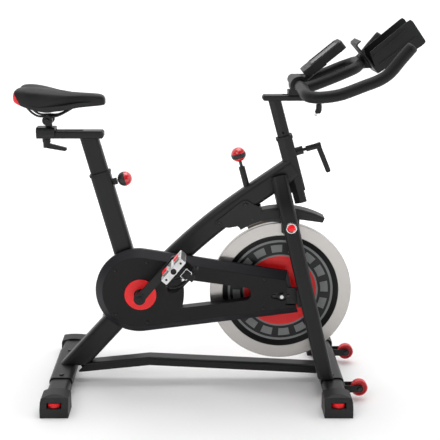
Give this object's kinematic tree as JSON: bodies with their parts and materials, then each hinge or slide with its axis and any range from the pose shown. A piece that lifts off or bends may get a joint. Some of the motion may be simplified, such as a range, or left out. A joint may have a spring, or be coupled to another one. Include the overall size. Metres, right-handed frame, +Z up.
{
  "type": "indoor spin bike",
  "caption": "Indoor spin bike with a belt-driven flywheel, magnetic resistance, sliding saddle and handlebar, toe-cage pedals, console and media holder.",
  "frame": {"origin": "middle of the footprint on the floor", "axes": "+X forward in the riding direction, +Y to the rider's left, +Z up; the belt side is -Y"},
  "size_m": [1.248, 0.58, 1.189],
  "materials": {
    "frame_paint": "satin black powder coat",
    "cover_plastic": "fine moulded texture",
    "black_plastic": "moulded, matt",
    "red_plastic": "semi-gloss red",
    "cap_rubber": "matt, slightly worn",
    "bright_steel": "zinc plated",
    "flywheel_steel": "polished rim, painted web",
    "pedal_alloy": "cast and machined",
    "belt_rubber": "ribbed belt",
    "grip_foam": "dipped soft grip",
    "saddle_cover": "soft synthetic leather with a red panel",
    "brake_pad": "felt-like friction pad on a steel holder"
  },
  "bodies": {
    "root": {"main_beam": "frame_paint", "floor_rail": "frame_paint", "mount_plates": "frame_paint", "seat_tube": "frame_paint", "head_sleeve": "frame_paint", "fork_leg_right": "frame_paint", "fork_leg_left": "frame_paint", "rear_stabilizer": "frame_paint", "front_stabilizer": "frame_paint", "base_bolts": "bright_steel", "end_caps": "cap_rubber", "post_bushings": "black_plastic", "bearings": "bright_steel", "drive_belt": "belt_rubber", "flywheel_axle": "bright_steel", "axle_hardware": "bright_steel", "shroud_outer_shell": "cover_plastic", "shroud_inner_cover": "cover_plastic", "crank_ring": "red_plastic", "fender": "cover_plastic", "brake_spring": "bright_steel"},
    "crankset": {"crank_spindle": "bright_steel", "crank_arm_right": "frame_paint", "crank_arm_left": "frame_paint", "drive_pulley": "bright_steel", "pedal_axles": "bright_steel"},
    "pedal_right": {"pedal_right": "pedal_alloy", "pedal_cage_right": "black_plastic"},
    "pedal_left": {"pedal_left": "pedal_alloy", "pedal_cage_left": "black_plastic"},
    "flywheel": {"flywheel": "flywheel_steel", "flywheel_pulley": "bright_steel"},
    "transport_wheel_right": {"transport_wheel_right": "red_plastic"},
    "transport_wheel_left": {"transport_wheel_left": "red_plastic"},
    "leveler_rear_right": {"leveler_rear_right": "red_plastic"},
    "leveler_rear_left": {"leveler_rear_left": "red_plastic"},
    "leveler_front_right": {"leveler_front_right": "red_plastic"},
    "leveler_front_left": {"leveler_front_left": "red_plastic"},
    "seat_post": {"seat_post": "frame_paint"},
    "seat_pin": {"seat_pin": "red_plastic"},
    "seat_carriage": {"seat_carriage": "frame_paint"},
    "seat_lever": {"seat_lever": "black_plastic"},
    "saddle": {"saddle_clamp": "frame_paint", "saddle_rails": "bright_steel", "saddle_base": "black_plastic", "saddle_cushion": "saddle_cover"},
    "bar_post": {"bar_post": "frame_paint"},
    "bar_post_lever": {"bar_post_lever": "black_plastic"},
    "bar_carriage": {"bar_carriage": "black_plastic", "handlebar": "grip_foam", "console_case": "black_plastic", "media_holder": "black_plastic"},
    "bar_slide_lever": {"bar_slide_lever": "black_plastic"},
    "console_button_1": {"console_button_1": "black_plastic"},
    "console_button_2": {"console_button_2": "black_plastic"},
    "console_button_3": {"console_button_3": "black_plastic"},
    "brake_rod": {"brake_rod": "bright_steel", "brake_shoe": "brake_pad"},
    "brake_knob": {"brake_knob": "red_plastic"},
    "magnet_carrier": {"magnet_carrier": "frame_paint"}
  },
  "joints": [
    {"name": "flywheel_spin", "type": "hinge", "parent": "root", "child": "flywheel", "pos_m": [0.208, 0, 0.317], "axis": [0, 1, 0], "continuous": true},
    {"name": "crank_spin", "type": "hinge", "parent": "root", "child": "crankset", "pos_m": [-0.246, 0, 0.323], "axis": [0, 1, 0], "continuous": true},
    {"name": "pedal_right_spin", "type": "hinge", "parent": "crankset", "child": "pedal_right", "pos_m": [-0.13447, -0.18, 0.4513], "axis": [0, 1, 0], "continuous": true},
    {"name": "pedal_left_spin", "type": "hinge", "parent": "crankset", "child": "pedal_left", "pos_m": [-0.35753, 0.18, 0.1947], "axis": [0, 1, 0], "continuous": true},
    {"name": "transport_wheel_right_spin", "type": "hinge", "parent": "root", "child": "transport_wheel_right", "pos_m": [0.454, -0.151, 0.0415], "axis": [0, 1, 0], "continuous": true},
    {"name": "transport_wheel_left_spin", "type": "hinge", "parent": "root", "child": "transport_wheel_left", "pos_m": [0.454, 0.151, 0.0415], "axis": [0, 1, 0], "continuous": true},
    {"name": "leveler_rear_right_turn", "type": "hinge", "parent": "root", "child": "leveler_rear_right", "pos_m": [-0.503, -0.263, 0.02], "axis": [0, 0, 1], "range_deg": [0, 720]},
    {"name": "leveler_rear_left_turn", "type": "hinge", "parent": "root", "child": "leveler_rear_left", "pos_m": [-0.503, 0.263, 0.02], "axis": [0, 0, 1], "range_deg": [0, 720]},
    {"name": "leveler_front_right_turn", "type": "hinge", "parent": "root", "child": "leveler_front_right", "pos_m": [0.372, -0.263, 0.02], "axis": [0, 0, 1], "range_deg": [0, 720]},
    {"name": "leveler_front_left_turn", "type": "hinge", "parent": "root", "child": "leveler_front_left", "pos_m": [0.372, 0.263, 0.02], "axis": [0, 0, 1], "range_deg": [0, 720]},
    {"name": "seat_post_slide", "type": "slide", "parent": "root", "child": "seat_post", "axis": [-0.2639, 0, 0.9646], "range_m": [-0.1, 0.13]},
    {"name": "seat_pin_pull", "type": "slide", "parent": "root", "child": "seat_pin", "axis": [0.9646, 0, 0.2639], "range_m": [0, 0.01], "stiffness_N_per_m": 400, "springref_m": -0.005},
    {"name": "seat_slide", "type": "slide", "parent": "seat_post", "child": "seat_carriage", "axis": [1, 0, 0], "range_m": [-0.02, 0.075]},
    {"name": "seat_lever_turn", "type": "hinge", "parent": "seat_post", "child": "seat_lever", "pos_m": [-0.538, 0, 0.8], "axis": [0, 0, 1], "range_deg": [-90, 90]},
    {"name": "saddle_tilt", "type": "hinge", "parent": "seat_carriage", "child": "saddle", "pos_m": [-0.529, 0, 0.88], "axis": [0, 1, 0], "range_deg": [-12, 12]},
    {"name": "bar_post_slide", "type": "slide", "parent": "root", "child": "bar_post", "axis": [-0.2672, 0, 0.9636], "range_m": [0, 0.12]},
    {"name": "bar_post_lever_turn", "type": "hinge", "parent": "root", "child": "bar_post_lever", "pos_m": [0.28258, 0, 0.78705], "axis": [0.9636, 0, 0.2672], "range_deg": [-20, 160]},
    {"name": "bar_slide", "type": "slide", "parent": "bar_post", "child": "bar_carriage", "axis": [1, 0, 0], "range_m": [-0.015, 0.06]},
    {"name": "bar_slide_lever_turn", "type": "hinge", "parent": "bar_post", "child": "bar_slide_lever", "pos_m": [0.317, 0, 0.915], "axis": [0, 0, 1], "range_deg": [-90, 90]},
    {"name": "button_1_press", "type": "slide", "parent": "bar_carriage", "child": "console_button_1", "axis": [0.632, 0, -0.7749], "range_m": [0, 0.0012], "stiffness_N_per_m": 400, "springref_m": -0.001},
    {"name": "button_2_press", "type": "slide", "parent": "bar_carriage", "child": "console_button_2", "axis": [0.632, 0, -0.7749], "range_m": [0, 0.0012], "stiffness_N_per_m": 400, "springref_m": -0.001},
    {"name": "button_3_press", "type": "slide", "parent": "bar_carriage", "child": "console_button_3", "axis": [0.632, 0, -0.7749], "range_m": [0, 0.0012], "stiffness_N_per_m": 400, "springref_m": -0.001},
    {"name": "brake_press", "type": "slide", "parent": "root", "child": "brake_rod", "axis": [0.2588, 0, -0.9659], "range_m": [0, 0.005], "stiffness_N_per_m": 2000, "springref_m": -0.006, "deforming": ["brake_spring"]},
    {"name": "resistance_turn", "type": "hinge", "parent": "brake_rod", "child": "brake_knob", "pos_m": [0.067, 0, 0.768], "axis": [-0.2588, 0, 0.9659], "range_deg": [-90, 270]},
    {"name": "magnet_swing", "type": "hinge", "parent": "root", "child": "magnet_carrier", "pos_m": [0.112, 0, 0.562], "axis": [0, 1, 0], "range_deg": [-1.7, 5]}
  ],
  "couplings": [
    {"joint": "crank_spin", "follows": "flywheel_spin", "ratio": 0.26667},
    {"joint": "magnet_swing", "follows": "resistance_turn", "ratio": 0.0185}
  ]
}
